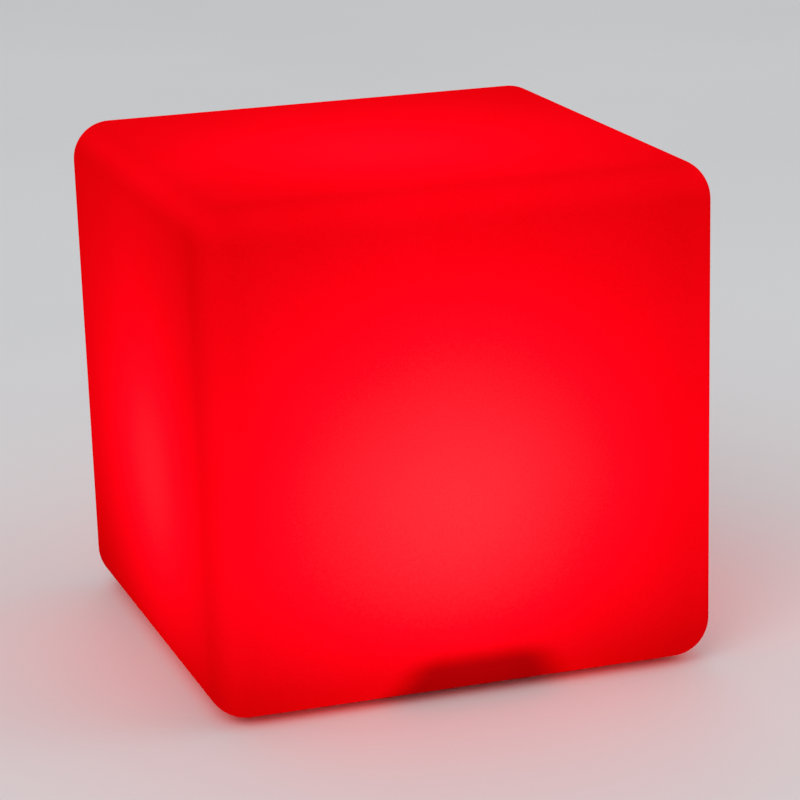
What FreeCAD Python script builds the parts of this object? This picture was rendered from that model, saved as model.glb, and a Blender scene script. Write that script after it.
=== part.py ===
import FreeCAD, Part
import math
import os

# A floating cube light. A hollow polyethylene cube screws down on a sealed lamp module, which sits in a
# recess of the cube's floor. Millimetres, +Z up, origin at the centre of the underside, front towards -Y.

V = FreeCAD.Vector

# ---- cube shell ----------------------------------------------------------------------------------
HEIGHT = 197.0              # pads to top
TOP_WIDTH = 203.0
BOTTOM_WIDTH = 200.6        # the walls have a slight draft
EDGE_RADIUS = 15.5
WALL = 3.0
PAD_HEIGHT = 1.5
PAD_RADIUS = 6.5
PAD_SINK = 0.8
PAD_OFFSET = 76.0

# ---- recess, collar and quick thread -------------------------------------------------------------
RECESS_RADIUS = 72.0
RECESS_ROOF = 11.5
MOUTH_RADIUS = 60.4
COLLAR_BASE = 7.5
COLLAR_FLANGE = 3.0
COLLAR_FLANGE_RADIUS = 71.0
COLLAR_RADIUS = 60.0
COLLAR_BORE = 57.1
COLLAR_TOP = 22.0
COLLAR_SCREW_CIRCLE = 66.5
COLLAR_SCREWS = 6
BOSS_RADIUS = 5.5
BOSS_TOP = 24.0
INSERT_RADIUS = 2.6
LEAD = 15.0                 # climb in one turn
STARTS = 3
RIB_ARC = 65.0
LUG_ARC = 55.0
RIB_START_Z = 11.0
LUG_RISE = 2.35             # lug centre above rib centre
THREAD_ROOT = 1.3           # half thickness where a rib or lug joins its wall
THREAD_TIP = 0.8            # half thickness at its free edge
RIB_TIP_RADIUS = 54.5
LUG_TIP_RADIUS = 56.6

# ---- base housing --------------------------------------------------------------------------------
BASE_LOW = 2.0
BASE_HIGH = 5.5
BASE_RADIUS = 69.0
SKIRT_RADIUS = 54.0
SKIRT_BORE = 51.0
SKIRT_TOP = 27.5
WELL_INNER = 8.0            # the grip bar lies between the wells, from -8 to 8
WELL_OUTER = 30.0
WELL_HALF_LENGTH = 13.0
WELL_ROOF = 17.0
WELL_CORNER = 6.0
INNER_WALL = 2.0

# ---- deck, dome and receiver pod -----------------------------------------------------------------
DECK_RADIUS = 53.5
DECK_TOP = 30.0
SPIGOT_RADIUS = 50.8
SPIGOT_BORE = 48.4
SPIGOT_LOW = 23.5
DECK_SCREW_CIRCLE = 43.5
DECK_SCREW_ANGLES = (15, 75, 105, 165, 220, 320)
DOME_SEAT_TOP = 34.0
DOME_SEAT_RADIUS = 36.0
DOME_SEAT_BORE = 27.9
DOME_RADIUS = 28.0
DOME_WALL = 2.2
DOME_CROWN = 20.0           # radius of the rounding round its top
DOME_TOP = 62.0
DOME_FLANGE_RADIUS = 31.5
DOME_FLANGE = 1.5
DOME_RING_TOP = 37.6
DOME_SCREW_CIRCLE = 33.9
DOME_SCREWS = 6
POD_FRONT = -49.0
POD_BACK = -37.0
POD_BASE_HALF = 18.5
POD_TOP_HALF = 10.5
POD_TOP = 37.5
POD_WALL = 1.8

# ---- inside the lamp module ----------------------------------------------------------------------
HARNESS_HOLE = 3.5
LED_BOARD_LOW = 32.0
LED_BOARD_HIGH = 33.6
LED_SIZE = 5.0
LED_HEIGHT = 1.6
BOARD_LOW = 19.0
BOARD_HIGH = 20.6
BOARD_HALF_WIDTH = 31.0
BOARD_POSTS = ((-27.5, -20.5), (27.5, -20.5), (-27.5, -35.5), (27.5, -35.5))
CELL_RADIUS = 9.1
CELL_HALF = 32.5
CELL_Y = 26.0
CELL_Z = 16.6
WIRE_RADIUS = 0.8
THIN_WIRE_RADIUS = 0.55
WIRE_Z = 21.5
HARNESS_Z = 23.6

# ---- charge port, indicator and power button -----------------------------------------------------
PORT_X = -15.0
PORT_Y = -33.0
PORT_ROOF = 8.5
DOOR_LOW = 2.2
DOOR_HIGH = 4.2
DOOR_HALF_WIDTH = 9.6
DOOR_FRONT = -44.1
DOOR_RECESS_ROOF = 4.4
HINGE_Y = -23.4
HINGE_Z = 4.0
KNUCKLE_RADIUS = 1.8
KNUCKLE_HALF = 7.0
HINGE_PIN_RADIUS = 0.9
PIPE_Y = -33.0
PIPE_RADIUS = 1.5
BUTTON_X = 15.0
BUTTON_Y = -33.0
BUTTON_RADIUS = 6.0
BUTTON_BORE = 7.5
BUTTON_LEDGE = 4.6
BUTTON_LOW = 2.3
BUTTON_CAGE_TOP = 12.0
STEM_TOP = 14.2
SPRING_RADIUS = 4.6
SPRING_WIRE = 0.3           # radius
SPRING_TURNS = 4
SPRING_RUNS_A_TURN = 16

FIT = 0.1                   # radial clearance of sliding pieces
GAP = 0.05                  # clearance between flat faces of different bodies


# ---- drawing helpers -----------------------------------------------------------------------------
def disc(radius, low, high, x=0.0, y=0.0):
    return Part.makeCylinder(radius, high - low, V(x, y, low))


def ring(outer, inner, low, high, x=0.0, y=0.0):
    return disc(outer, low, high, x, y).cut(disc(inner, low - 1, high + 1, x, y))


def block(x0, x1, y0, y1, z0, z1):
    return Part.makeBox(x1 - x0, y1 - y0, z1 - z0, V(x0, y0, z0))


def rod_x(radius, x0, x1, y, z):
    return Part.makeCylinder(radius, x1 - x0, V(x0, y, z), V(1, 0, 0))


def torus(centre_radius, section_radius, z):
    return Part.makeTorus(centre_radius, section_radius, V(0, 0, z))


def around(count, radius, first_deg=0.0):
    step = 360.0 / count
    return [on_circle(radius, first_deg + i * step) for i in range(count)]


def on_circle(radius, angle_deg):
    angle = math.radians(angle_deg)
    return radius * math.cos(angle), radius * math.sin(angle)


def join(shapes):
    return shapes[0].multiFuse(shapes[1:]).removeSplitter()


def cut_all(shape, tools):
    return shape.cut(tools[0].multiFuse(tools[1:]) if len(tools) > 1 else tools[0])


def upright_edges(shape):
    edges = []
    for edge in shape.Edges:
        ends = [vertex.Point for vertex in edge.Vertexes]
        if len(ends) == 2 and abs(ends[0].x - ends[1].x) < 1e-6 and abs(ends[0].y - ends[1].y) < 1e-6:
            edges.append(edge)
    return edges


def edges_at(shape, z, radius=None):
    found = []
    for edge in shape.Edges:
        box = edge.BoundBox
        if abs(box.ZMin - z) > 1e-3 or abs(box.ZMax - z) > 1e-3:
            continue
        if radius is None or abs(box.XMax - radius) < 0.05:
            found.append(edge)
    return found


def rounded_block(x0, x1, y0, y1, z0, z1, corner):
    box = block(x0, x1, y0, y1, z0, z1)
    return box.makeFillet(corner, upright_edges(box))


def square_at(width, z):
    half = width / 2
    corners = [V(-half, -half, z), V(half, -half, z), V(half, half, z), V(-half, half, z), V(-half, -half, z)]
    return Part.makePolygon(corners)


def rounded_cube(inset):
    """The cube's body with every edge rounded, inset evenly from the outside."""
    low = square_at(BOTTOM_WIDTH - 2 * inset, PAD_HEIGHT + inset)
    high = square_at(TOP_WIDTH - 2 * inset, HEIGHT - inset)
    body = Part.makeLoft([low, high], True, True)
    return body.makeFillet(EDGE_RADIUS - inset, body.Edges)


def helical_rib(wall_radius, tip_radius, arc_deg, first_deg, start_z):
    """A short stretch of thread, thick at the wall it stands on and thinner at its free edge."""
    height = LEAD * arc_deg / 360.0
    spine = Part.makeHelix(LEAD, height, wall_radius)
    section = Part.makePolygon([
        V(wall_radius, 0, -THREAD_ROOT),
        V(tip_radius, 0, -THREAD_TIP),
        V(tip_radius, 0, THREAD_TIP),
        V(wall_radius, 0, THREAD_ROOT),
        V(wall_radius, 0, -THREAD_ROOT),
    ])
    rib = Part.Wire(spine).makePipeShell([section], True, True)
    rib.rotate(V(0, 0, 0), V(0, 0, 1), first_deg)
    rib.translate(V(0, 0, start_z))
    return rib


def wire(points, radius):
    """A round wire along straight runs joined by tangent arcs, each as large as its two runs allow."""
    points = [V(*p) for p in points]
    edges = []
    start = points[0]
    for before, corner, after in zip(points, points[1:], points[2:]):
        into = (corner - before).normalize()
        out = (after - corner).normalize()
        trim = 0.45 * min((corner - before).Length, (after - corner).Length)
        first = corner - into * trim
        last = corner + out * trim
        middle_way = (out - into).normalize()
        turn = into.getAngle(out)
        bend = trim / math.tan(turn / 2)
        middle = corner + middle_way * (bend / math.cos(turn / 2) - bend)
        edges.append(Part.LineSegment(start, first).toShape())
        edges.append(Part.Arc(first, middle, last).toShape())
        start = last
    edges.append(Part.LineSegment(start, points[-1]).toShape())
    path = Part.Wire(edges)
    heading = (points[1] - points[0]).normalize()
    section = Part.Wire(Part.makeCircle(radius, points[0], heading))
    return path.makePipeShell([section], True, False)


def countersunk_screw(x, y, face, head_radius, shank_radius, length):
    """A flat-head screw driven upwards, its head flush with the face below it."""
    head = Part.makeCone(head_radius, shank_radius, head_radius - shank_radius, V(x, y, face))
    slot = block(x - head_radius * 0.6, x + head_radius * 0.6, y - 0.35, y + 0.35, face - 1, face + 0.9)
    cross = block(x - 0.35, x + 0.35, y - head_radius * 0.6, y + head_radius * 0.6, face - 1, face + 0.9)
    return join([head, disc(shank_radius, face, face + length, x, y)]).cut(slot).cut(cross)


def pan_screw(x, y, face, head_radius, head_height, shank_radius, length):
    """A domed screw driven downwards, its head standing on the face."""
    head = disc(head_radius, face, face + head_height, x, y)
    head = head.makeFillet(head_height * 0.45, edges_at(head, face + head_height))
    top = face + head_height
    arm = head_radius * 0.55
    slot = block(x - arm, x + arm, y - 0.3, y + 0.3, top - 0.7, top + 1)
    cross = block(x - 0.3, x + 0.3, y - arm, y + arm, top - 0.7, top + 1)
    return join([head, disc(shank_radius, face - length, face, x, y)]).cut(slot).cut(cross)


# ---- shell ---------------------------------------------------------------------------------------
def pad_places():
    return [(sx * PAD_OFFSET, sy * PAD_OFFSET) for sx in (-1, 1) for sy in (-1, 1)]


def collar_screw_places():
    return around(COLLAR_SCREWS, COLLAR_SCREW_CIRCLE, 30.0)


def cube_shell():
    shell = rounded_cube(0.0).cut(rounded_cube(WALL))
    recess = disc(RECESS_RADIUS + WALL, PAD_HEIGHT, RECESS_ROOF + WALL)
    bosses = [disc(BOSS_RADIUS, RECESS_ROOF, BOSS_TOP, x, y) for x, y in collar_screw_places()]
    shell = join([shell, recess] + bosses)
    shell = shell.cut(disc(RECESS_RADIUS, 0, RECESS_ROOF))
    shell = shell.cut(Part.makeCone(RECESS_RADIUS + 2, RECESS_RADIUS, 2, V(0, 0, PAD_HEIGHT)))
    shell = shell.cut(disc(MOUTH_RADIUS, 0, RECESS_ROOF + 2 * WALL))
    holes = [disc(INSERT_RADIUS, 0, BOSS_TOP - WALL, x, y) for x, y in collar_screw_places()]
    pockets = [disc(PAD_RADIUS + FIT, 0, PAD_HEIGHT + PAD_SINK, x, y) for x, y in pad_places()]
    return cut_all(shell, holes + pockets)


def boss_inserts():
    low = RECESS_ROOF + 0.5
    high = BOSS_TOP - WALL - 0.5
    return [ring(INSERT_RADIUS, 1.6, low, high, x, y) for x, y in collar_screw_places()]


def foot_pads():
    pads = []
    for x, y in pad_places():
        pad = disc(PAD_RADIUS, 0, PAD_HEIGHT + PAD_SINK, x, y)
        pads.append(pad.makeFillet(0.6, edges_at(pad, 0)))
    return pads


def collar_gasket():
    washer = ring(COLLAR_FLANGE_RADIUS, MOUTH_RADIUS + 0.4, COLLAR_BASE + COLLAR_FLANGE, RECESS_ROOF)
    return cut_all(washer, [disc(2.1, 0, RECESS_ROOF + 1, x, y) for x, y in collar_screw_places()])


def thread_collar():
    flange_top = COLLAR_BASE + COLLAR_FLANGE
    flange = ring(COLLAR_FLANGE_RADIUS, COLLAR_BORE, COLLAR_BASE, flange_top)
    sleeve = ring(COLLAR_RADIUS, COLLAR_BORE, COLLAR_BASE, COLLAR_TOP)
    ribs = []
    for i in range(STARTS):
        first = i * 360.0 / STARTS
        ribs.append(helical_rib(COLLAR_BORE + 0.3, RIB_TIP_RADIUS, RIB_ARC, first, RIB_START_Z))
    collar = join([flange, sleeve] + ribs)
    holes = []
    for x, y in collar_screw_places():
        holes.append(disc(1.8, 0, RECESS_ROOF, x, y))
        holes.append(Part.makeCone(3.4, 1.6, 1.8, V(x, y, COLLAR_BASE)))
    return cut_all(collar, holes)


def collar_screws():
    return [countersunk_screw(x, y, COLLAR_BASE, 3.3, 1.5, 11.5) for x, y in collar_screw_places()]


def main_gasket():
    gasket = ring(62.4, 58.0, BASE_HIGH + GAP, COLLAR_BASE - GAP)
    return gasket.makeFillet(0.4, edges_at(gasket, COLLAR_BASE - GAP) + edges_at(gasket, BASE_HIGH + GAP))


# ---- base housing --------------------------------------------------------------------------------
def deck_screw_places():
    return [on_circle(DECK_SCREW_CIRCLE, angle) for angle in DECK_SCREW_ANGLES]


def well(side):
    x0, x1 = sorted((side * WELL_INNER, side * WELL_OUTER))
    pocket = rounded_block(x0, x1, -WELL_HALF_LENGTH, WELL_HALF_LENGTH, BASE_LOW - 1, WELL_ROOF, WELL_CORNER)
    return pocket.makeFillet(3.0, edges_at(pocket, WELL_ROOF))


def well_casing(side):
    x0, x1 = sorted((side * (WELL_INNER - INNER_WALL), side * (WELL_OUTER + INNER_WALL)))
    reach = WELL_HALF_LENGTH + INNER_WALL
    return rounded_block(x0, x1, -reach, reach, BASE_LOW + 1, WELL_ROOF + INNER_WALL, WELL_CORNER)


def thread_lugs():
    lugs = []
    lead_in = (RIB_ARC - LUG_ARC) / 2
    start_z = RIB_START_Z + LUG_RISE + LEAD * lead_in / 360.0
    for i in range(STARTS):
        first = i * 360.0 / STARTS + lead_in
        lugs.append(helical_rib(SKIRT_RADIUS - 0.3, LUG_TIP_RADIUS, LUG_ARC, first, start_z))
    return lugs


def door_recess():
    """Recess for the charge-port door, the trough for its knuckle, and the slot for a fingernail."""
    rear = HINGE_Y + 2.1
    floor = block(PORT_X - 10, PORT_X + 10, DOOR_FRONT - 0.4, rear, BASE_LOW - 1, DOOR_RECESS_ROOF)
    trough = rod_x(2.1, PORT_X - KNUCKLE_HALF - 0.3, PORT_X + KNUCKLE_HALF + 0.3, HINGE_Y, HINGE_Z)
    nail_slot = rounded_block(PORT_X - 4, PORT_X + 4, DOOR_FRONT - 3.4, DOOR_FRONT + 3, 1.0, 3.4, 1.4)
    return join([floor, trough, nail_slot])


def hinge_ears():
    ears = []
    for side in (-1, 1):
        x0, x1 = sorted((PORT_X + side * (KNUCKLE_HALF + 0.3), PORT_X + side * 10))
        ears.append(rod_x(2.0, x0, x1, HINGE_Y, HINGE_Z))
        ears.append(block(x0, x1, HINGE_Y - 1.6, HINGE_Y + 2.2, HINGE_Z, DOOR_RECESS_ROOF + 1))
    return ears


def base_housing():
    plate = disc(BASE_RADIUS, BASE_LOW, BASE_HIGH)
    plate = plate.makeFillet(1.2, edges_at(plate, BASE_LOW) + edges_at(plate, BASE_HIGH))
    skirt = ring(SKIRT_RADIUS, SKIRT_BORE, BASE_HIGH - 1, SKIRT_TOP)
    skirt = skirt.makeChamfer(0.8, edges_at(skirt, SKIRT_TOP, SKIRT_RADIUS))
    solids = [plate, skirt, well_casing(-1), well_casing(1)] + thread_lugs()
    for side in (-1, 1):
        x0, x1 = sorted((side * (WELL_OUTER + 1), side * (SKIRT_BORE + 1)))
        solids.append(block(x0, x1, -1, 1, BASE_HIGH - 1, 18))
    for x, y in BOARD_POSTS:
        solids.append(disc(3.0, BASE_HIGH - 1, BOARD_LOW, x, y))
    for x, y in deck_screw_places():
        solids.append(disc(3.5, BASE_HIGH - 1, SKIRT_TOP, x, y))
    solids.append(disc(9.5, BASE_HIGH - 1, BUTTON_CAGE_TOP, BUTTON_X, BUTTON_Y))
    for y in retainer_screw_ys():
        solids.append(disc(2.6, BASE_HIGH - 1, BUTTON_CAGE_TOP, BUTTON_X, y))
    solids.append(block(PORT_X - 12, PORT_X + 12, DOOR_FRONT - 1, HINGE_Y + 5, BASE_HIGH - 1, PORT_ROOF))
    housing = join(solids)
    housing = cut_all(housing, [well(-1), well(1), door_recess()])
    housing = join([housing] + hinge_ears())
    holes = [
        disc(4.2, BASE_LOW, PORT_ROOF + 1, PORT_X, PORT_Y),
        rod_x(HINGE_PIN_RADIUS, PORT_X - 11, PORT_X + 11, HINGE_Y, HINGE_Z),
        disc(BUTTON_RADIUS + FIT, BASE_LOW - 1, BUTTON_LEDGE + 1, BUTTON_X, BUTTON_Y),
        disc(BUTTON_BORE, BUTTON_LEDGE, BUTTON_CAGE_TOP + 1, BUTTON_X, BUTTON_Y),
        disc(PIPE_RADIUS, BASE_LOW - 1, BASE_HIGH + 1, 0, PIPE_Y),
    ]
    for x, y in BOARD_POSTS:
        holes.append(disc(1.0, BOARD_LOW - 8, BOARD_LOW + 1, x, y))
    for x, y in deck_screw_places():
        holes.append(disc(1.4, SKIRT_TOP - 8, SKIRT_TOP + 1, x, y))
    for y in retainer_screw_ys():
        holes.append(disc(0.8, BUTTON_CAGE_TOP - 4, BUTTON_CAGE_TOP + 1, BUTTON_X, y))
    return cut_all(housing, holes)


# ---- deck, pod and dome --------------------------------------------------------------------------
def pod_prism(front, back, base_half, top_half, low, high):
    outline = Part.makePolygon([
        V(-base_half, front, low),
        V(base_half, front, low),
        V(top_half, front, high),
        V(-top_half, front, high),
        V(-base_half, front, low),
    ])
    return Part.Face(outline).extrude(V(0, back - front, 0))


def deck_cover():
    plate = disc(DECK_RADIUS, SKIRT_TOP, DECK_TOP)
    plate = plate.makeChamfer(0.8, edges_at(plate, DECK_TOP))
    spigot = ring(SPIGOT_RADIUS, SPIGOT_BORE, SPIGOT_LOW, SKIRT_TOP + 1)
    spigot = spigot.cut(ring(SPIGOT_RADIUS + 1, 49.5, 24.6, 26.4))
    seat = disc(DOME_SEAT_RADIUS, DECK_TOP - 1, DOME_SEAT_TOP)
    pod = pod_prism(POD_FRONT, POD_BACK, POD_BASE_HALF, POD_TOP_HALF, DECK_TOP - 0.01, POD_TOP)
    pod = pod.makeFillet(1.4, [e for e in pod.Edges if e.BoundBox.ZMax > DECK_TOP + 1])
    deck = join([plate, spigot, seat, pod])
    narrow = POD_WALL * 1.4
    front, back = POD_FRONT + POD_WALL, POD_BACK - POD_WALL
    hollow = pod_prism(front, back, POD_BASE_HALF - narrow, POD_TOP_HALF - narrow / 2, DECK_TOP,
                       POD_TOP - POD_WALL)
    holes = [
        hollow,
        block(-14, 14, -45.5, POD_BACK - POD_WALL, SKIRT_TOP - 1, DECK_TOP + 0.5),
        disc(DOME_SEAT_BORE, DECK_TOP, DOME_SEAT_TOP + 1),
        disc(HARNESS_HOLE, SKIRT_TOP - 1, DECK_TOP + 1),
        ring(30.8, 29.2, DOME_SEAT_TOP - 1.3, DOME_SEAT_TOP + 1),
    ]
    for x, y in deck_screw_places():
        holes.append(disc(1.4, SKIRT_TOP - 1, DECK_TOP + 1, x, y))
    for x, y in dome_screw_places():
        holes.append(disc(0.9, DECK_TOP - 1, DOME_SEAT_TOP + 1, x, y))
    return cut_all(deck, holes)


def deck_seal():
    return torus(50.25, 0.72, 25.5)


def deck_screws():
    return [pan_screw(x, y, DECK_TOP, 2.8, 1.7, 1.4, 9.5) for x, y in deck_screw_places()]


def dome_screw_places():
    return around(DOME_SCREWS, DOME_SCREW_CIRCLE, 0.0)


def rounded_plug(radius, low, high, crown):
    """Upright cylinder whose top edge is rounded."""
    body = disc(radius, low, high)
    return body.makeFillet(crown, edges_at(body, high))


def lamp_dome():
    outside = rounded_plug(DOME_RADIUS, DOME_SEAT_TOP, DOME_TOP, DOME_CROWN)
    crown = DOME_CROWN - DOME_WALL
    inside = rounded_plug(DOME_RADIUS - DOME_WALL, DOME_SEAT_TOP - 1, DOME_TOP - DOME_WALL, crown)
    flange = disc(DOME_FLANGE_RADIUS, DOME_SEAT_TOP, DOME_SEAT_TOP + DOME_FLANGE)
    return join([outside, flange]).cut(inside)


def dome_seal():
    return torus(30.0, 0.64, DOME_SEAT_TOP - 0.65)


def dome_ring():
    lip_low = DOME_SEAT_TOP + DOME_FLANGE
    clamp = join([
        ring(DOME_SEAT_RADIUS, DOME_FLANGE_RADIUS + 0.2, DOME_SEAT_TOP, lip_low + 0.5),
        ring(DOME_SEAT_RADIUS, DOME_RADIUS + 0.3, lip_low, DOME_RING_TOP),
    ])
    clamp = clamp.makeChamfer(0.6, edges_at(clamp, DOME_RING_TOP, DOME_SEAT_RADIUS))
    return cut_all(clamp, [disc(0.95, 0, DOME_RING_TOP + 1, x, y) for x, y in dome_screw_places()])


def dome_screws():
    return [pan_screw(x, y, DOME_RING_TOP, 1.8, 1.2, 0.9, 8.0) for x, y in dome_screw_places()]


# ---- LEDs ----------------------------------------------------------------------------------------
def led_places():
    return around(6, 13.5, 0.0) + around(12, 21.0, 15.0)


def led_board_screw_places():
    return around(3, 17.2, 30.0)


def heat_spreader():
    plate = disc(27.0, DECK_TOP, LED_BOARD_LOW).cut(disc(HARNESS_HOLE, DECK_TOP - 1, LED_BOARD_LOW + 1))
    return cut_all(plate, [disc(0.9, 0, LED_BOARD_LOW + 1, x, y) for x, y in led_board_screw_places()])


def led_board():
    board = ring(26.5, HARNESS_HOLE, LED_BOARD_LOW, LED_BOARD_HIGH)
    return cut_all(board, [disc(0.95, 0, LED_BOARD_HIGH + 1, x, y) for x, y in led_board_screw_places()])


def led_packages():
    packages = []
    top = LED_BOARD_HIGH + LED_HEIGHT
    half = LED_SIZE / 2
    for x, y in led_places():
        package = block(x - half, x + half, y - half, y + half, LED_BOARD_HIGH, top)
        packages.append(package.cut(disc(1.9, top - 0.7, top + 1, x, y)))
    return packages


def led_lenses():
    top = LED_BOARD_HIGH + LED_HEIGHT
    return [disc(1.85, top - 0.7, top - 0.1, x, y) for x, y in led_places()]


def led_board_screws():
    return [pan_screw(x, y, LED_BOARD_HIGH, 1.7, 1.1, 0.85, 2.9) for x, y in led_board_screw_places()]


def led_socket():
    socket = block(-4, 4, -10, -5, LED_BOARD_HIGH, LED_BOARD_HIGH + 4.4)
    return cut_all(socket, [Part.makeCylinder(THIN_WIRE_RADIUS + 0.1, 2, V(x, -6.8, 36.6), V(0, 1, 0))
                            for x in harness_xs()])


def harness_xs():
    return (-2.1, -0.7, 0.7, 2.1)


def led_harness():
    """Four wires from the plug on the control board, up through the deck, into the LED board's socket."""
    wires = []
    for x in harness_xs():
        route = [(x, -20.0, HARNESS_Z), (x, 0.5, HARNESS_Z), (x, 0.5, 36.6), (x, -6.5, 36.6)]
        wires.append(wire(route, THIN_WIRE_RADIUS))
    return wires


def harness_plug():
    return block(-4.2, 4.2, -26, -20, BOARD_HIGH, 25.6)


# ---- battery -------------------------------------------------------------------------------------
def battery_cell():
    cell = rod_x(CELL_RADIUS, -CELL_HALF, CELL_HALF, CELL_Y, CELL_Z)
    rims = [e for e in cell.Edges if e.BoundBox.XLength < 1e-3]
    return cell.makeFillet(0.7, rims)


def cell_terminal():
    return rod_x(2.9, CELL_HALF, CELL_HALF + 1.1, CELL_Y, CELL_Z)


def battery_holder():
    cradle = block(-36.5, 36.5, CELL_Y - 9, CELL_Y + 9, BASE_HIGH, 13.0)
    ends = [block(x, x + 2.0, CELL_Y - 6, CELL_Y + 6, BASE_HIGH, 20.0) for x in (-36.5, 34.5)]
    holder = join([cradle] + ends)
    room = rod_x(CELL_RADIUS + 0.2, -34.5, 34.5, CELL_Y, CELL_Z)
    strap_room = rod_x(10.35, -5.3, 5.3, CELL_Y, CELL_Z)
    corners = [block(side * 30 - 7, side * 30 + 7, CELL_Y + 6, CELL_Y + 10, 0, 14) for side in (-1, 1)]
    return cut_all(holder, [room, strap_room] + corners)


def battery_contacts():
    contacts = []
    for side, reach in ((-1, CELL_HALF), (1, CELL_HALF + 1.1)):
        x0, x1 = sorted((side * 34.1, side * 34.5))
        plate = block(x0, x1, CELL_Y - 5.5, CELL_Y + 5.5, 10.0, 23.0)
        bump = Part.makeCone(2.4, 1.2, 34.1 - reach, V(side * 34.1, CELL_Y, CELL_Z), V(-side, 0, 0))
        contacts.append(join([plate, bump]))
    return contacts


def battery_strap():
    outer = rod_x(10.25, -5, 5, CELL_Y, CELL_Z)
    return outer.cut(rod_x(CELL_RADIUS + 0.1, -6, 6, CELL_Y, CELL_Z))


def battery_leads():
    """Two wires from the holder's end plates round the finger wells to the battery plug."""
    end_y = CELL_Y - 5.5
    red = [(34.3, end_y, WIRE_Z), (34.3, 6.0, WIRE_Z), (22.0, -6.0, WIRE_Z), (-2.0, -8.0, WIRE_Z),
           (-18.0, 2.0, WIRE_Z), (-18.6, -8.0, WIRE_Z), (-18.6, -17.5, WIRE_Z)]
    black = [(-34.3, end_y, WIRE_Z), (-34.3, 8.0, WIRE_Z), (-21.4, -3.0, WIRE_Z), (-21.4, -17.5, WIRE_Z)]
    return [wire(red, WIRE_RADIUS), wire(black, WIRE_RADIUS)]


def battery_plug():
    return block(-23.5, -16.5, -23, -17.5, BOARD_HIGH, 24.2).cut(block(-30, -21.5, -30, -19, 0, 30))


# ---- control board -------------------------------------------------------------------------------
def control_board():
    slab = block(-BOARD_HALF_WIDTH, BOARD_HALF_WIDTH, -46, -17, BOARD_LOW, BOARD_HIGH)
    board = slab.common(disc(48.0, BOARD_LOW, BOARD_HIGH))
    holes = [disc(1.1, 0, BOARD_HIGH + 1, x, y) for x, y in BOARD_POSTS]
    holes += [disc(3.8, 0, BOARD_HIGH + 1, x, y) for x, y in deck_screw_places() if y < 0]
    pins = [block(x - 0.35, x + 0.35, -42.65, -41.95, 0, 30) for x in receiver_pin_xs()]
    return cut_all(board, holes + pins)


def board_screws():
    return [pan_screw(x, y, BOARD_HIGH, 2.1, 1.3, 0.95, 8.5) for x, y in BOARD_POSTS]


def controller_chip():
    body = block(-6, 6, -38.5, -30.5, BOARD_HIGH, BOARD_HIGH + 1.6)
    legs = []
    for i in range(8):
        x = -5.2 + i * 1.45
        legs.append(block(x, x + 0.5, -40, -29, BOARD_HIGH, BOARD_HIGH + 0.3))
    return join([body] + legs)


def driver_transistors():
    top = BOARD_HIGH + 1.2
    return [block(x - 1.6, x + 1.6, -28.4, -25.4, BOARD_HIGH, top) for x in (8.5, 12.5, 16.5, 20.5)]


def inductor():
    return rounded_block(-15, -9, -31, -25, BOARD_HIGH, BOARD_HIGH + 4.0, 1.2)


def capacitors():
    return [disc(2.5, BOARD_HIGH, BOARD_HIGH + 4.8, x, y) for x, y in ((14, -33.5), (20, -33.5), (-19, -34))]


def indicator_led():
    return block(-1.0, 1.0, PIPE_Y - 0.7, PIPE_Y + 0.7, 17.9, BOARD_LOW)


def light_pipe():
    return join([disc(PIPE_RADIUS, BASE_LOW + 0.1, 17.6, 0, PIPE_Y), disc(2.5, BASE_HIGH, 6.6, 0, PIPE_Y)])


# ---- remote-control receiver ---------------------------------------------------------------------
def receiver_pin_xs():
    return (-2.54, 0.0, 2.54)


def receiver_pins():
    return [block(x - 0.3, x + 0.3, -42.6, -42.0, BOARD_LOW - 0.8, 26.0) for x in receiver_pin_xs()]


def receiver_board():
    board = block(-8, 8, -43, -41.6, 24.5, 35.0)
    return cut_all(board, [block(x - 0.3, x + 0.3, -42.6, -42.0, 0, 26.0) for x in receiver_pin_xs()])


def receiver_eye():
    body = block(-3, 3, -45.2, -43, 29.0, 34.6)
    lens = Part.makeCylinder(2.0, 1.0, V(0, -45.2, 32.0), V(0, -1, 0))
    lens = lens.makeFillet(0.8, [e for e in lens.Edges if abs(e.BoundBox.YMin + 46.2) < 1e-3 and
                                 e.BoundBox.YLength < 1e-3])
    return join([body, lens])


# ---- charge port ---------------------------------------------------------------------------------
def jack_seal():
    return ring(4.4, 3.4, PORT_ROOF, PORT_ROOF + 0.6, PORT_X, PORT_Y)


def charge_jack():
    low = PORT_ROOF + 0.6
    body = rounded_block(PORT_X - 4.7, PORT_X + 4.7, PORT_Y - 4.7, PORT_Y + 4.7, low, BOARD_LOW, 1.0)
    return body.cut(disc(3.1, 0, BOARD_LOW - 1.5, PORT_X, PORT_Y))


def jack_contact():
    pin = disc(1.05, PORT_ROOF + 1.6, BOARD_LOW - 1.5, PORT_X, PORT_Y)
    return pin.makeFillet(0.5, edges_at(pin, PORT_ROOF + 1.6))


def port_door():
    leaf = rounded_block(PORT_X - DOOR_HALF_WIDTH, PORT_X + DOOR_HALF_WIDTH, DOOR_FRONT, HINGE_Y - 2.6,
                         DOOR_LOW, DOOR_HIGH, 1.5)
    neck = block(PORT_X - KNUCKLE_HALF, PORT_X + KNUCKLE_HALF, HINGE_Y - 5, HINGE_Y, DOOR_LOW, DOOR_HIGH)
    knuckle = rod_x(KNUCKLE_RADIUS, PORT_X - KNUCKLE_HALF, PORT_X + KNUCKLE_HALF, HINGE_Y, HINGE_Z)
    door = join([leaf, neck, knuckle])
    return door.cut(rod_x(HINGE_PIN_RADIUS + 0.05, PORT_X - 9, PORT_X + 9, HINGE_Y, HINGE_Z))


def port_plug():
    plug = disc(3.7, DOOR_HIGH, 7.0, PORT_X, PORT_Y)
    return plug.makeChamfer(0.8, edges_at(plug, 7.0))


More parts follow.
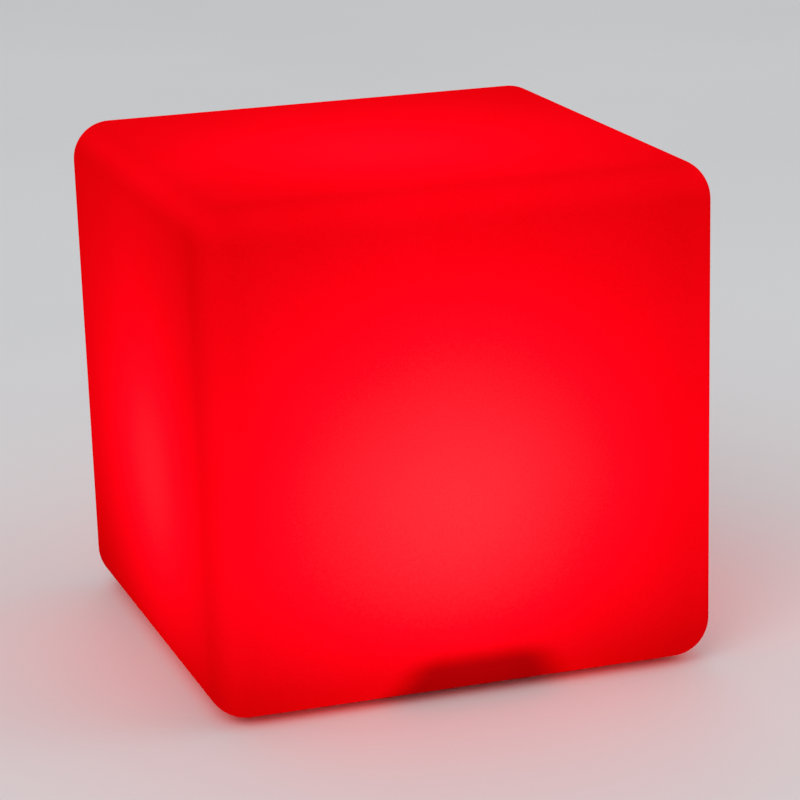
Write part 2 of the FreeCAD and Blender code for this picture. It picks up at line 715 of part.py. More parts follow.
def door_pin():
    return rod_x(HINGE_PIN_RADIUS, PORT_X - 10.9, PORT_X + 10.9, HINGE_Y, HINGE_Z)


# ---- power button --------------------------------------------------------------------------------
def retainer_screw_ys():
    return (BUTTON_Y - 11.2, BUTTON_Y + 11.2)


def button_cap():
    body = disc(BUTTON_RADIUS, BUTTON_LOW, 6.0, BUTTON_X, BUTTON_Y)
    body = body.makeFillet(0.6, edges_at(body, BUTTON_LOW))
    flange = disc(BUTTON_BORE - 0.3, BUTTON_LEDGE + GAP, 6.0, BUTTON_X, BUTTON_Y)
    stem = disc(2.0, 5.5, STEM_TOP, BUTTON_X, BUTTON_Y)
    dish = Part.makeSphere(26.0, V(BUTTON_X, BUTTON_Y, BUTTON_LOW + 0.5 - 26.0))
    return join([body, flange, stem]).cut(dish)


def button_spring():
    """Compression spring between the cap's flange and the cage lid, its coil made of short straight runs."""
    low = 6.0 + SPRING_WIRE + 0.03
    high = BUTTON_CAGE_TOP - SPRING_WIRE - 0.03
    runs = SPRING_TURNS * SPRING_RUNS_A_TURN
    points = []
    for i in range(runs + 1):
        x, y = on_circle(SPRING_RADIUS, 360.0 * i / SPRING_RUNS_A_TURN)
        points.append(V(BUTTON_X + x, BUTTON_Y + y, low + (high - low) * i / runs))
    section = Part.Wire(Part.makeCircle(SPRING_WIRE, points[0], points[1] - points[0]))
    return Part.makePolygon(points).makePipeShell([section], True, False, 1)


def button_retainer():
    lid = disc(9.5, BUTTON_CAGE_TOP, BUTTON_CAGE_TOP + 1.4, BUTTON_X, BUTTON_Y)
    ears = [disc(2.6, BUTTON_CAGE_TOP, BUTTON_CAGE_TOP + 1.4, BUTTON_X, y) for y in retainer_screw_ys()]
    lid = join([lid] + ears)
    holes = [disc(0.85, 0, 20, BUTTON_X, y) for y in retainer_screw_ys()]
    return cut_all(lid, holes + [disc(2.0 + FIT, 0, 20, BUTTON_X, BUTTON_Y)])


def retainer_screws():
    return [pan_screw(BUTTON_X, y, BUTTON_CAGE_TOP + 1.4, 1.7, 1.1, 0.8, 5.0) for y in retainer_screw_ys()]


def tact_switch():
    body = block(BUTTON_X - 3.1, BUTTON_X + 3.1, BUTTON_Y - 3.1, BUTTON_Y + 3.1, 15.7, BOARD_LOW)
    return body.cut(disc(1.8 + FIT, 0, 18.5, BUTTON_X, BUTTON_Y))


def switch_plunger():
    return disc(1.8, STEM_TOP, 17.2, BUTTON_X, BUTTON_Y)


# ---- every node ----------------------------------------------------------------------------------
NODES = [
    cube_shell, boss_inserts, foot_pads, collar_gasket, thread_collar, collar_screws, main_gasket,
    base_housing, deck_cover, deck_seal, deck_screws, lamp_dome, dome_seal, dome_ring, dome_screws,
    heat_spreader, led_board, led_packages, led_lenses, led_board_screws, led_socket, led_harness,
    harness_plug, battery_cell, cell_terminal, battery_holder, battery_contacts, battery_strap,
    battery_leads, battery_plug, control_board, board_screws, controller_chip, driver_transistors, inductor,
    capacitors, indicator_led, light_pipe, receiver_pins, receiver_board, receiver_eye, jack_seal,
    charge_jack, jack_contact, port_door, port_plug, door_pin, button_cap, button_spring, button_retainer,
    retainer_screws, tact_switch, switch_plunger,
]


def main():
    os.makedirs("parts", exist_ok=True)
    for make in NODES:
        shape = make()
        if isinstance(shape, list):
            shape = Part.makeCompound(shape)
        print(make.__name__, len(shape.Solids), "solids, valid", shape.isValid(), round(shape.Volume, 1), "mm3")
        shape.exportStep("parts/" + make.__name__ + ".step")


main()
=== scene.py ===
import math

import bmesh
import bpy
from mathutils import Matrix, Vector


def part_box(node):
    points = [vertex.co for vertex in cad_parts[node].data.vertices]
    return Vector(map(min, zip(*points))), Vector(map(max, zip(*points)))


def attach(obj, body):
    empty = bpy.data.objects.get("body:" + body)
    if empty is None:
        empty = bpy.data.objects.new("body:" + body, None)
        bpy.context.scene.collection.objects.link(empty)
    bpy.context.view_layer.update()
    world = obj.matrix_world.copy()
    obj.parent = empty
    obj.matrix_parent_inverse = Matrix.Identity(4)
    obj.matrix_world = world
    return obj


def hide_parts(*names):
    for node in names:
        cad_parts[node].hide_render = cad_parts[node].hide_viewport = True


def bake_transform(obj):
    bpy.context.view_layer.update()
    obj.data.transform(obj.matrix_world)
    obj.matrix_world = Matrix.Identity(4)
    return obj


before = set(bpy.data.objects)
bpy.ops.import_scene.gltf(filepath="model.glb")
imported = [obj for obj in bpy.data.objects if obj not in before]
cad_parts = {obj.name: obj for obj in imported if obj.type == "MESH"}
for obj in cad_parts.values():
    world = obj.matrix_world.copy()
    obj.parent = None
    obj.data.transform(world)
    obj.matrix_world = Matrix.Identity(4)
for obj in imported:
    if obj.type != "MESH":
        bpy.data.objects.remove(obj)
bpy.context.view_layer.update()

MM = 0.001

# ---- sizes from the frame ------------------------------------------------------------------------
shell_low, shell_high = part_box("cube_shell")
dome_low, dome_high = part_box("lamp_dome")

HALF_TOP = shell_high.x               # half width of the cube at its top
DRAFT = 0.012                         # how much narrower the foot of the cube is
FOOT_Z = shell_low.z
TOP_Z = shell_high.z
EDGE_RADIUS = 15.5 * MM
WALL = 3.0 * MM
RECESS_RADIUS = 72.0 * MM
RECESS_ROOF = 11.5 * MM
RECESS_LIP = 2 * MM                   # rounding of the recess's edge
LIP_STEPS = 5
MOUTH_RADIUS = 60.4 * MM
CENTRE = Vector((0.0, 0.0, TOP_Z / 2))

# ---- camera --------------------------------------------------------------------------------------
CAMERA_AZIMUTH = -17.96
CAMERA_ELEVATION = 15.53
CAMERA_ROLL = -1.71
CAMERA_DISTANCE = 1.2745
CAMERA_ASIDE = 5.93 * MM
CAMERA_DOWN = 6.48 * MM
FOCAL_LENGTH = 144.8
SENSOR = 36.0


def make_camera():
    azimuth = math.radians(CAMERA_AZIMUTH)
    elevation = math.radians(CAMERA_ELEVATION)
    roll = math.radians(CAMERA_ROLL)
    back = Vector((math.sin(azimuth) * math.cos(elevation), -math.cos(azimuth) * math.cos(elevation),
                   math.sin(elevation)))
    level = Vector((0, 0, 1)).cross(back).normalized()
    upright = back.cross(level)
    right = level * math.cos(roll) + upright * math.sin(roll)
    up = upright * math.cos(roll) - level * math.sin(roll)
    data = bpy.data.cameras.new("camera")
    data.lens = FOCAL_LENGTH
    data.sensor_width = SENSOR
    data.clip_start = 0.05
    data.clip_end = 50
    camera = bpy.data.objects.new("camera", data)
    turn = Matrix((right, up, back)).transposed()
    place = CENTRE + back * CAMERA_DISTANCE + right * CAMERA_ASIDE - up * CAMERA_DOWN
    camera.matrix_world = Matrix.Translation(place) @ turn.to_4x4()
    bpy.context.scene.collection.objects.link(camera)
    bpy.context.scene.camera = camera


# ---- node arithmetic -----------------------------------------------------------------------------
class Graph:
    """A material's node tree, with helpers that make nodes from formulas."""

    def __init__(self, name):
        self.material = bpy.data.materials.new(name)
        self.material.use_nodes = True
        self.tree = self.material.node_tree
        self.shader = self.tree.nodes["Principled BSDF"]
        coordinates = self.node("ShaderNodeTexCoord")
        self.place = coordinates.outputs["Object"]
        self.normal = coordinates.outputs["Normal"]

    def node(self, kind, **settings):
        made = self.tree.nodes.new(kind)
        for key, value in settings.items():
            setattr(made, key, value)
        return made

    def feed(self, socket, value):
        if isinstance(value, Amount):
            value = value.socket
        if isinstance(value, bpy.types.NodeSocket):
            self.tree.links.new(value, socket)
        else:
            socket.default_value = value

    def maths(self, operation, first, second=0.0):
        made = self.node("ShaderNodeMath", operation=operation)
        for socket, value in zip(made.inputs, (first, second)):
            self.feed(socket, value)
        return Amount(self, made.outputs[0])

    def axes(self, vector):
        split = self.node("ShaderNodeSeparateXYZ")
        self.feed(split.inputs[0], vector)
        return [Amount(self, output) for output in split.outputs]

    def ease(self, value, start, end):
        """0 at start, 1 at end, smooth in between."""
        made = self.node("ShaderNodeMapRange", interpolation_type="SMOOTHSTEP")
        for socket, number in zip(made.inputs, (value, start, end, 0.0, 1.0)):
            self.feed(socket, number)
        return Amount(self, made.outputs[0])

    def noise(self, size, detail=2.0, roughness=0.5, stretch=None):
        """Noise about 0, whose features are about this many metres across."""
        made = self.node("ShaderNodeTexNoise")
        made.inputs["Scale"].default_value = 1.0 / size
        made.inputs["Detail"].default_value = detail
        made.inputs["Roughness"].default_value = roughness
        where = self.place
        if stretch:
            mapping = self.node("ShaderNodeMapping")
            mapping.inputs["Scale"].default_value = stretch
            self.feed(mapping.inputs["Vector"], self.place)
            where = mapping.outputs["Vector"]
        self.feed(made.inputs["Vector"], where)
        return Amount(self, made.outputs["Fac"]) - 0.5

    def ramp(self, value, stops):
        """Colours at the given values, blended in between."""
        made = self.node("ShaderNodeValToRGB")
        elements = made.color_ramp.elements
        while len(elements) < len(stops):
            elements.new(0.5)
        for element, (position, colour) in zip(elements, stops):
            element.position = position
            element.color = (*colour, 1.0)
        self.feed(made.inputs[0], value)
        return made.outputs["Color"]

    def bump(self, height, depth):
        """Surface texture whose height, from 0 to 1, stands for this depth in metres."""
        made = self.node("ShaderNodeBump")
        made.inputs["Distance"].default_value = depth
        self.feed(made.inputs["Height"], height)
        self.feed(self.shader.inputs["Normal"], made.outputs["Normal"])

    def set(self, **inputs):
        for name, value in inputs.items():
            self.feed(self.shader.inputs[name.replace("_", " ")], value)


class Amount:
    """A node's output that can be used in arithmetic."""

    def __init__(self, graph, socket):
        self.graph = graph
        self.socket = socket

    def __add__(self, other):
        return self.graph.maths("ADD", self, other)

    def __sub__(self, other):
        return self.graph.maths("SUBTRACT", self, other)

    def __mul__(self, other):
        return self.graph.maths("MULTIPLY", self, other)

    def __truediv__(self, other):
        return self.graph.maths("DIVIDE", self, other)

    def __pow__(self, other):
        return self.graph.maths("POWER", self, other)

    def __rsub__(self, other):
        return self.graph.maths("SUBTRACT", other, self)

    __radd__ = __add__
    __rmul__ = __mul__


# ---- shell material ------------------------------------------------------------------------------
LAMP_Z = 75 * MM                      # height of the lamp's hot spot on the side walls
TOP_SPOT_X = -5 * MM                  # where the hot spot on the top lies

# How brightly each wall shines: hot-spot brightness, even brightness, hot spot's place along the
# wall, and lamp distance. 1 is where red is as bright as the wall can show.
FRONT_GLOW = (1.395, 0.489, -7 * MM, 100 * MM)
BACK_GLOW = (1.25, 0.50, 0.0, 100 * MM)
LEFT_GLOW = (0.94, 0.57, -18 * MM, 92 * MM)
RIGHT_GLOW = (1.10, 0.53, -10 * MM, 95 * MM)
TOP_GLOW = (0.60, 0.65, -20 * MM, 110 * MM)
UNDER_GLOW = 0.60

FOOT_DIMMING = 0.5                    # light lost at the very foot of the walls
FOOT_FADE = 27 * MM                   # height over which most of it comes back
EDGE_HIGHLIGHT = 0.6                      # painted highlight along the middle of the roundings under the top
EDGE_SHADE = 0.75                       # painted shade where they meet the top
CORNER_HIGHLIGHT = 0.35                   # the same painted highlight and shade for the upright roundings
CORNER_SHADE = 1.0
FLAT_UNDER = 0.92                     # squared normal where the foot's roundings fade into the floor
POD_DIMMING = 0.57                    # light that the receiver pod takes away
POD_X = 2 * MM
POD_TOP_HALF = 24 * MM                # half width of the pod's shadow, 18 mm up the wall
POD_TOP_Z = 18 * MM
POD_SPLAY = 0.6                       # how fast the shadow widens downwards
POD_BLUR = 10 * MM
POD_FADE_LOW, POD_FADE_HIGH = 13 * MM, 23 * MM
POD_REACH = 60 * MM                   # how far behind the middle the shadow has gone

# Colour against brightness, which runs to twice the brightness 1. The studio light adds a little.
GLOW_COLOURS = [
    (0.000, (0.000, 0.0000, 0.0000)),
    (0.350, (0.665, 0.0001, 0.0004)),
    (0.500, (0.955, 0.0001, 0.0042)),
    (0.565, (0.955, 0.0005, 0.0076)),
    (0.645, (0.955, 0.0022, 0.0126)),
    (0.725, (0.955, 0.0081, 0.0191)),
    (0.820, (0.955, 0.0163, 0.0289)),
    (0.940, (0.955, 0.0279, 0.0405)),
]


def wall_glow(glow, along, height, lamp_height=LAMP_Z):
    """Light through one wall: a hot spot that fades with distance from the lamp, over an even glow."""
    peak, even, centre, distance = glow
    spread = ((along - centre) ** 2.0 + (height - lamp_height) ** 2.0) / distance ** 2
    return peak * (1.0 + spread) ** -1.5 + even


def pod_shadow(graph, x, z):
    """Soft shadow that the receiver pod throws low on the front wall, wider towards the foot."""
    half_width = POD_SPLAY * (POD_TOP_Z - z) + POD_TOP_HALF
    off_centre = graph.maths("ABSOLUTE", x - POD_X)
    across = 1.0 - graph.ease(off_centre - half_width, -POD_BLUR, POD_BLUR)
    below = 1.0 - graph.ease(z, POD_FADE_LOW, POD_FADE_HIGH)
    return across * below


def shell_material():
    """Milky plastic lit from inside, by place on the shell and by which way the surface faces."""
    g = Graph("shell_plastic")
    x, y, z = g.axes(g.place)
    nx, ny, nz = g.axes(g.normal)

    def facing(value):
        return g.maths("MAXIMUM", value, 0.0) ** 4.0

    sides = facing(0.0 - ny) * wall_glow(FRONT_GLOW, x, z)
    sides = sides + facing(ny) * wall_glow(BACK_GLOW, x, z)
    sides = sides + facing(0.0 - nx) * wall_glow(LEFT_GLOW, y, z)
    sides = sides + facing(nx) * wall_glow(RIGHT_GLOW, y, z)
    sides = sides / g.maths("MAXIMUM", nx ** 4.0 + ny ** 4.0, 1e-4)
    top = g.maths("MAXIMUM", nz, 0.0) ** 2.0
    under = g.maths("MAXIMUM", 0.0 - nz, 0.0) ** 2.0
    # The roundings at the foot keep the light of the wall above them, and fade into the floor.
    flat_under = g.ease(under, FLAT_UNDER, 1.0)
    glow = sides * (1.0 - top + 0.3 * under) * (1.0 - flat_under)
    glow = glow + top * wall_glow(TOP_GLOW, y, x, TOP_SPOT_X) + flat_under * UNDER_GLOW
    foot = 1.0 - FOOT_DIMMING * g.maths("EXPONENT", z * (-1.0 / FOOT_FADE))
    # Painted highlight and shade: a rounding is a little brighter along its middle, and darker where it
    # meets the next wall.
    rim = 1.0 + EDGE_HIGHLIGHT * top * (1.0 - top) ** 2.0 - EDGE_SHADE * top ** 6.0 * (1.0 - top)
    turned = nx ** 2.0
    painted_corner_light = 1.0 + CORNER_HIGHLIGHT * turned * (1.0 - turned) ** 2.0
    painted_corner_light = painted_corner_light - CORNER_SHADE * turned ** 6.0 * (1.0 - turned)
    shadow = 1.0 - POD_DIMMING * pod_shadow(g, x, z) * g.ease(0.0 - y, 0.0, POD_REACH)
    mottle = 1.0 + 0.05 * g.noise(45 * MM, 1.0) + 0.20 * g.noise(0.8 * MM, 2.0, 0.6)
    glow = glow * foot * rim * painted_corner_light * shadow * mottle
    g.set(Emission_Color=g.ramp(glow * 0.5, GLOW_COLOURS), Emission_Strength=1.0)
    # Painted light: the base colour is a dark red that stands in for the lamp's red light on the milky
    # plastic.
    tints = [(0.3, (0.055, 0.0006, 0.002)), (0.7, (0.070, 0.0008, 0.003))]
    g.set(Base_Color=g.ramp(g.noise(30 * MM) + 0.5, tints))
    g.set(Roughness=0.80 + 0.12 * g.noise(4 * MM))
    g.shader.inputs["Specular IOR Level"].default_value = 0.0
    g.bump(g.noise(2.6 * MM, 2.0) * 0.7 + g.noise(0.7 * MM, 1.0) * 0.3, 0.10 * MM)
    return g.material


# ---- other materials -----------------------------------------------------------------------------
def moulded(name, colour, roughness=0.45, grain=0.6 * MM, depth=0.03 * MM, specular=0.5):
    """Moulded plastic or rubber: a little colour and gloss variation and a fine texture."""
    g = Graph(name)
    darker = tuple(0.94 * part for part in colour)
    g.set(Base_Color=g.ramp(g.noise(14 * MM) + 0.5, [(0.3, darker), (0.7, colour)]))
    g.set(Roughness=roughness + 0.12 * g.noise(3 * MM))
    g.shader.inputs["Specular IOR Level"].default_value = specular
    g.bump(g.noise(grain, 2.0), depth)
    return g.material


def metal(name, colour, roughness=0.32):
    """Plated or machined metal with fine brushing."""
    g = Graph(name)
    darker = tuple(0.8 * part for part in colour)
    g.set(Base_Color=g.ramp(g.noise(1.5 * MM) + 0.5, [(0.3, darker), (0.7, colour)]))
    g.shader.inputs["Metallic"].default_value = 1.0
    g.set(Roughness=roughness + 0.2 * g.noise(0.4 * MM, stretch=(1.0, 8.0, 1.0)))
    g.bump(g.noise(0.3 * MM, stretch=(1.0, 8.0, 1.0)), 0.01 * MM)
    return g.material


def dome_material():
    """Frosted dome over the LEDs: brightest low at its sides, where the LEDs are near."""
    g = Graph("dome_plastic")
    x, y, z = g.axes(g.place)
    g.set(Emission_Color=g.ramp(g.ease(z, dome_low.z, dome_high.z), [
        (0.0, (1.0, 0.16, 0.19)),
        (0.35, (1.0, 0.11, 0.14)),
        (0.7, (1.0, 0.055, 0.075)),
        (1.0, (0.99, 0.035, 0.05)),
    ]))
    g.shader.inputs["Emission Strength"].default_value = 1.0
    tints = [(0.3, (0.55, 0.30, 0.30)), (0.7, (0.62, 0.36, 0.36))]
    g.set(Base_Color=g.ramp(g.noise(6 * MM) + 0.5, tints))
    g.set(Roughness=0.5 + 0.1 * g.noise(2 * MM))
    g.bump(g.noise(0.5 * MM), 0.02 * MM)
    return g.material


FAR_GLOW = 0.08
FAR_START, FAR_END = 2.0, 6.0         # distances between which the floor brightens


def floor_material():
    """Pale floor with painted light: it glows a little far away, where it meets the backdrop."""
    g = Graph("floor_grey")
    x, y, z = g.axes(g.place)
    greys = [(0.3, (0.82, 0.82, 0.825)), (0.7, (0.86, 0.86, 0.865))]
    g.set(Base_Color=g.ramp(g.noise(0.5, 3.0) + 0.5, greys))
    g.set(Roughness=0.6 + 0.1 * g.noise(20 * MM))
    g.shader.inputs["Emission Color"].default_value = (0.96, 0.98, 1.0, 1.0)
    g.set(Emission_Strength=FAR_GLOW * g.ease((x * x + y * y) ** 0.5, FAR_START, FAR_END))
    g.shader.inputs["Specular IOR Level"].default_value = 0.3
    g.bump(g.noise(3 * MM, 3.0), 0.05 * MM)
    return g.material


# ---- shell mesh ----------------------------------------------------------------------------------
FLAT_STEPS = 24                       # divisions of a flat wall
ROUND_STEPS = 9                       # divisions of half a rounding
MARGIN = 1.0 * MM                     # flat strip beside each rounding that keeps the wall flat


def places_along(half, radius):
    """Grid places along one axis, closer together on the roundings."""
    flat = half - radius
    inner = flat - MARGIN
    middle = [-inner + 2 * inner * i / (FLAT_STEPS - 2) for i in range(FLAT_STEPS - 1)]
    bend = [radius * math.tan(math.pi / 4 * i / ROUND_STEPS) for i in range(1, ROUND_STEPS + 1)]
    return [-flat - b for b in reversed(bend)] + [-flat] + middle + [flat] + [flat + b for b in bend]


class BoxSkin:
    """One skin of the rounded cube, open at the flat of its floor."""

    def __init__(self, mesh, inset):
        self.mesh = mesh
        self.radius = EDGE_RADIUS - inset
        half_height = (TOP_Z - FOOT_Z) / 2 - inset
        self.half = Vector((HALF_TOP - inset, HALF_TOP - inset, half_height))
        self.middle = (TOP_Z + FOOT_Z) / 2
        self.made = {}
        steps = [places_along(h, self.radius) for h in self.half]
        for axis in range(3):
            others = [a for a in range(3) if a != axis]
            for side in (-1, 1):
                self.wall(axis, side, others, steps[others[0]], steps[others[1]])
        self.rim = self.floor_rim(steps[0])

    def vertex(self, point):
        """The mesh vertex where a point of the square-edged box lands on the rounded one."""
        key = tuple(round(c * 1e7) for c in point)
        if key not in self.made:
            reach = [h - self.radius for h in self.half]
            core = Vector([max(-r, min(r, c)) for c, r in zip(point, reach)])
            rounded = core + (Vector(point) - core).normalized() * self.radius
            share = (self.half.z - rounded.z) / (2 * self.half.z)
            narrow = 1.0 - DRAFT * share
            place = (rounded.x * narrow, rounded.y * narrow, rounded.z + self.middle)
            self.made[key] = self.mesh.verts.new(place)
        return self.made[key]

    def wall(self, axis, side, others, across, along):
        flat = self.half - Vector((self.radius,) * 3)
        for a0, a1 in zip(across, across[1:]):
            for b0, b1 in zip(along, along[1:]):
                inside = max(abs(a0 + a1), abs(b0 + b1)) / 2 < flat.x
                if axis == 2 and side < 0 and inside:
                    continue
                corners = []
                for a, b in ((a0, b0), (a1, b0), (a1, b1), (a0, b1)):
                    point = [0.0, 0.0, 0.0]
                    point[axis] = side * self.half[axis]
                    point[others[0]] = a
                    point[others[1]] = b
                    corners.append(self.vertex(point))
                self.mesh.faces.new(corners)

    def floor_rim(self, steps):
        """Vertices round the opening left in the floor, in order."""
        flat = [s for s in steps if abs(s) <= self.half.x - self.radius + 1e-9]
        low, z = flat[0], -self.half.z
        rim = [(s, low) for s in flat[:-1]] + [(-low, s) for s in flat[:-1]]
        rim += [(-s, -low) for s in flat[:-1]] + [(low, -s) for s in flat[:-1]]
        return [self.vertex((px, py, z)) for px, py in rim]


def circle_of(mesh, guide, radius, z):
    """A ring of vertices at the guide ring's bearings."""
    ring = []
    for vertex in guide:
        bearing = math.atan2(vertex.co.y, vertex.co.x)
        ring.append(mesh.verts.new((radius * math.cos(bearing), radius * math.sin(bearing), z)))
    return ring


def blend_ring(mesh, first, last, share):
    """A ring part of the way from one ring to another."""
    return [mesh.verts.new(a.co.lerp(b.co, share)) for a, b in zip(first, last)]


def bridge(mesh, rings):
    """Faces between rings that have the same number of vertices."""
    for first, last in zip(rings, rings[1:]):
        count = len(first)
        for i in range(count):
            j = (i + 1) % count
            mesh.faces.new((first[i], first[j], last[j], last[i]))


def shell_mesh():
    """The hollow cube: outer and inner skin, joined through the recess and the mouth in its floor."""
    mesh = bmesh.new()
    outer = BoxSkin(mesh, 0.0)
    inner = BoxSkin(mesh, WALL)
    fine = 0.4 * MM
    roof, outside = RECESS_ROOF + WALL, RECESS_RADIUS + WALL
    profile = [(RECESS_RADIUS + RECESS_LIP + fine, FOOT_Z), (RECESS_RADIUS + RECESS_LIP, FOOT_Z)]
    for i in range(1, LIP_STEPS + 1):
        angle = math.pi / 2 * i / LIP_STEPS
        inwards, upwards = 1 - math.sin(angle), 1 - math.cos(angle)
        profile.append((RECESS_RADIUS + RECESS_LIP * inwards, FOOT_Z + RECESS_LIP * upwards))
    profile += [
        (RECESS_RADIUS, RECESS_ROOF - fine), (RECESS_RADIUS, RECESS_ROOF),
        (RECESS_RADIUS - fine, RECESS_ROOF), (MOUTH_RADIUS + fine, RECESS_ROOF),
        (MOUTH_RADIUS, RECESS_ROOF + fine), (MOUTH_RADIUS, roof - fine),
        (MOUTH_RADIUS + fine, roof), (outside - fine, roof), (outside, roof - fine),
        (outside, FOOT_Z + WALL + fine), (outside + fine, FOOT_Z + WALL),
    ]
    rings = [circle_of(mesh, outer.rim, radius, z) for radius, z in profile]
    outer_steps = [blend_ring(mesh, outer.rim, rings[0], share) for share in (0.33, 0.67)]
    inner_steps = [blend_ring(mesh, rings[-1], inner.rim, share) for share in (0.33, 0.67)]
    bridge(mesh, [outer.rim] + outer_steps + rings + inner_steps + [inner.rim])
    bmesh.ops.recalc_face_normals(mesh, faces=mesh.faces)
    return mesh


LATHE_STEPS = 96


def lathe_mesh(profile):
    """Profile points (radius, height) turned about the Z axis; a radius of 0 closes on the axis."""
    mesh = bmesh.new()
    rings = []
    for radius, z in profile:
        if radius == 0.0:
            rings.append([mesh.verts.new((0.0, 0.0, z))])
            continue
        angles = [2 * math.pi * i / LATHE_STEPS for i in range(LATHE_STEPS)]
        rings.append([mesh.verts.new((radius * math.cos(a), radius * math.sin(a), z)) for a in angles])
    for first, last in zip(rings, rings[1:]):
        for i in range(LATHE_STEPS):
            j = i + 1
            corners = [first[i % len(first)], first[j % len(first)]]
            corners += [last[j % len(last)], last[i % len(last)]]
            mesh.faces.new(list(dict.fromkeys(corners)))
    bmesh.ops.recalc_face_normals(mesh, faces=mesh.faces)
    return mesh


def dome_profile():
    """Half section of the frosted dome, from its crown down the outside and back up the inside."""
    flange_radius = dome_high.x
    radius, crown, wall, flange = 28.0 * MM, 20.0 * MM, 2.2 * MM, 1.5 * MM
    low, high = dome_low.z, dome_high.z
    bend = [math.radians(6 * i) for i in range(16)]
    outside = [(radius - crown + crown * math.sin(a), high - crown + crown * math.cos(a)) for a in bend]
    foot = [
        (radius, low + flange + 0.4 * MM), (radius + 0.4 * MM, low + flange),
        (flange_radius - 0.3 * MM, low + flange), (flange_radius, low + flange - 0.3 * MM),
        (flange_radius, low), (radius - wall, low),
    ]
    inside = [(r - wall * math.sin(a), z - wall * math.cos(a)) for (r, z), a in zip(outside, bend)]
    return [(0.0, high)] + outside + foot + list(reversed(inside)) + [(0.0, high - wall)]


SHARP_ANGLE = math.radians(35)        # edges that turn more than this are drawn sharp


def add_object(name, mesh, material):
    data = bpy.data.meshes.new(name)
    mesh.to_mesh(data)
    mesh.free()
    data.materials.append(material)
    data.shade_smooth()
    piece = bpy.data.objects.new(name, data)
    bpy.context.scene.collection.objects.link(piece)
    for edge, angle in edge_angles(data):
        edge.use_edge_sharp = angle > SHARP_ANGLE
    return piece


def edge_angles(data):
    """Each edge with the angle between its two faces."""
    normals = {}
    for polygon in data.polygons:
        for key in polygon.edge_keys:
            normals.setdefault(key, []).append(polygon.normal)
    for edge in data.edges:
        faces = normals.get(tuple(sorted(edge.vertices)), [])
        yield edge, faces[0].angle(faces[1]) if len(faces) == 2 else 0.0


# ---- button spring mesh --------------------------------------------------------------------------
SPRING_TURNS = 4
SPRING_WIRE = 0.3 * MM                # radius of the wire
SPRING_STEPS = 28                     # divisions of one turn
WIRE_STEPS = 10


def spring_mesh():
    """A round-wire coil inside the box of the frame's spring."""
    low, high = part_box("button_spring")
    middle = (low + high) / 2
    radius = (high.x - low.x) / 2 - SPRING_WIRE
    start, climb = low.z + SPRING_WIRE, high.z - low.z - 2 * SPRING_WIRE
    up = Vector((0.0, 0.0, 1.0))
    mesh = bmesh.new()
    rings = []
    steps = SPRING_TURNS * SPRING_STEPS
    for i in range(steps + 1):
        bearing = 2 * math.pi * i / SPRING_STEPS
        outward = Vector((math.cos(bearing), math.sin(bearing), 0.0))
        centre = Vector((middle.x, middle.y, start + climb * i / steps)) + outward * radius
        turns = [2 * math.pi * k / WIRE_STEPS for k in range(WIRE_STEPS)]
        rings.append([mesh.verts.new(centre + SPRING_WIRE * (outward * math.cos(t) + up * math.sin(t)))
                      for t in turns])
    bridge(mesh, rings)
    mesh.faces.new(rings[0])
    mesh.faces.new(rings[-1])
    bmesh.ops.recalc_face_normals(mesh, faces=mesh.faces)
    return mesh


# ---- stage ---------------------------------------------------------------------------------------
FLOOR_REACH = 25.0


def make_floor():
    mesh = bmesh.new()
    signs = ((-1, -1), (1, -1), (1, 1), (-1, 1))
    mesh.faces.new([mesh.verts.new((sx * FLOOR_REACH, sy * FLOOR_REACH, 0.0)) for sx, sy in signs])
    add_object("floor", mesh, floor_material())


def area_light(name, place, size, power):
    data = bpy.data.lights.new(name, "AREA")
    data.shape = "DISK"
    data.size = size
    data.energy = power
    light = bpy.data.objects.new(name, data)
    light.location = place
    light.rotation_euler = (CENTRE - Vector(place)).to_track_quat("-Z", "Y").to_euler()
    bpy.context.scene.collection.objects.link(light)


def make_lights():
    area_light("key", (-1.2, -1.4, 1.9), 1.6, 14)
    area_light("fill", (1.7, -0.6, 1.3), 1.8, 5)
    area_light("rim", (0.3, 1.8, 1.9), 1.4, 3)
    world = bpy.data.worlds.new("studio")
    world.use_nodes = True
    background = world.node_tree.nodes["Background"]
    background.inputs["Color"].default_value = (0.96, 0.98, 1.0, 1.0)
    background.inputs["Strength"].default_value = 0.55
    bpy.context.scene.world = world
    bpy.context.scene.view_settings.view_transform = "Standard"


# ---- build ---------------------------------------------------------------------------------------
def dress(material, *nodes):
    for node in nodes:
        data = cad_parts[node].data
        data.materials.clear()
        data.materials.append(material)


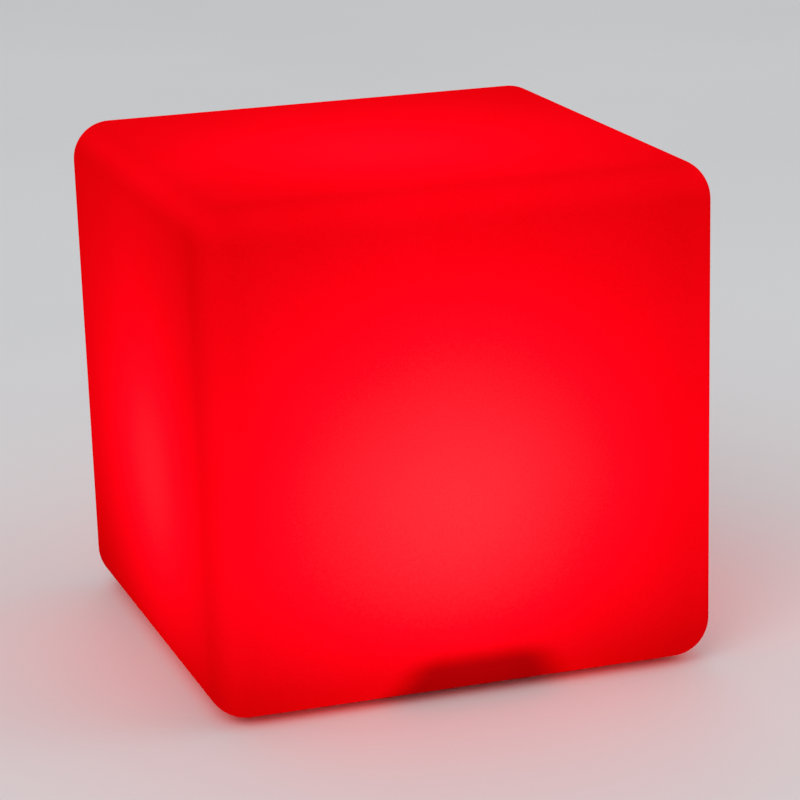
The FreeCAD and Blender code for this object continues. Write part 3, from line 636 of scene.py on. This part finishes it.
def dress_frame(steel):
    nickel = metal("nickel", (0.70, 0.69, 0.66), 0.25)
    rubber = moulded("seal_rubber", (0.030, 0.030, 0.033), 0.62, specular=0.3)
    white = moulded("white_plastic", (0.74, 0.74, 0.72), 0.42)
    grey = moulded("base_plastic", (0.60, 0.61, 0.60), 0.5, grain=0.5 * MM, depth=0.04 * MM)
    clamp = moulded("clamp_plastic", (0.40, 0.41, 0.42), 0.4)
    black = moulded("black_plastic", (0.02, 0.02, 0.022), 0.4)
    natural = moulded("natural_nylon", (0.76, 0.74, 0.66), 0.45)
    button = moulded("button_plastic", (0.10, 0.11, 0.12), 0.4)
    dress(steel, "collar_screws", "deck_screws", "dome_screws", "led_board_screws", "board_screws",
          "retainer_screws", "door_pin")
    dress(nickel, "cell_terminal", "battery_contacts", "receiver_pins", "jack_contact")
    dress(metal("brass", (0.70, 0.50, 0.22)), "boss_inserts")
    dress(metal("aluminium", (0.72, 0.72, 0.74), 0.4), "heat_spreader")
    dress(rubber, "collar_gasket", "main_gasket", "deck_seal", "dome_seal", "jack_seal", "port_plug")
    dress(moulded("pad_rubber", (0.08, 0.08, 0.08), 0.7), "foot_pads")
    dress(white, "thread_collar", "deck_cover")
    dress(grey, "base_housing")
    dress(clamp, "dome_ring")
    dress(black, "battery_holder", "battery_strap", "charge_jack", "button_retainer", "tact_switch",
          "receiver_eye", "controller_chip", "driver_transistors", "inductor")
    dress(natural, "led_socket", "harness_plug", "battery_plug", "switch_plunger", "led_packages",
          "indicator_led")
    dress(button, "port_door", "button_cap")
    dress(moulded("led_board", (0.78, 0.78, 0.76), 0.35), "led_board")
    dress(moulded("led_lens", (0.7, 0.06, 0.06), 0.2), "led_lenses")
    dress(moulded("board_green", (0.02, 0.13, 0.05), 0.35), "control_board", "receiver_board")
    dress(moulded("cell_wrap", (0.04, 0.12, 0.35), 0.3), "battery_cell")
    dress(moulded("capacitor_sleeve", (0.02, 0.03, 0.10), 0.3), "capacitors")
    dress(moulded("wire_red", (0.45, 0.02, 0.02), 0.4), "battery_leads", "led_harness")
    dress(moulded("clear_acrylic", (0.75, 0.78, 0.80), 0.15), "light_pipe")


make_camera()
make_lights()
make_floor()
steel = metal("stainless", (0.62, 0.62, 0.63))
dress_frame(steel)
shell = add_object("cube_shell_skin", shell_mesh(), shell_material())
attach(shell, "shell")
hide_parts("cube_shell")
dome = add_object("lamp_dome_skin", lathe_mesh(dome_profile()), dome_material())
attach(dome, "lamp_module")
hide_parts("lamp_dome")
spring = add_object("button_spring_coil", spring_mesh(), steel)
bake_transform(spring)
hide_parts("button_spring")

bpy.context.view_layer.update()
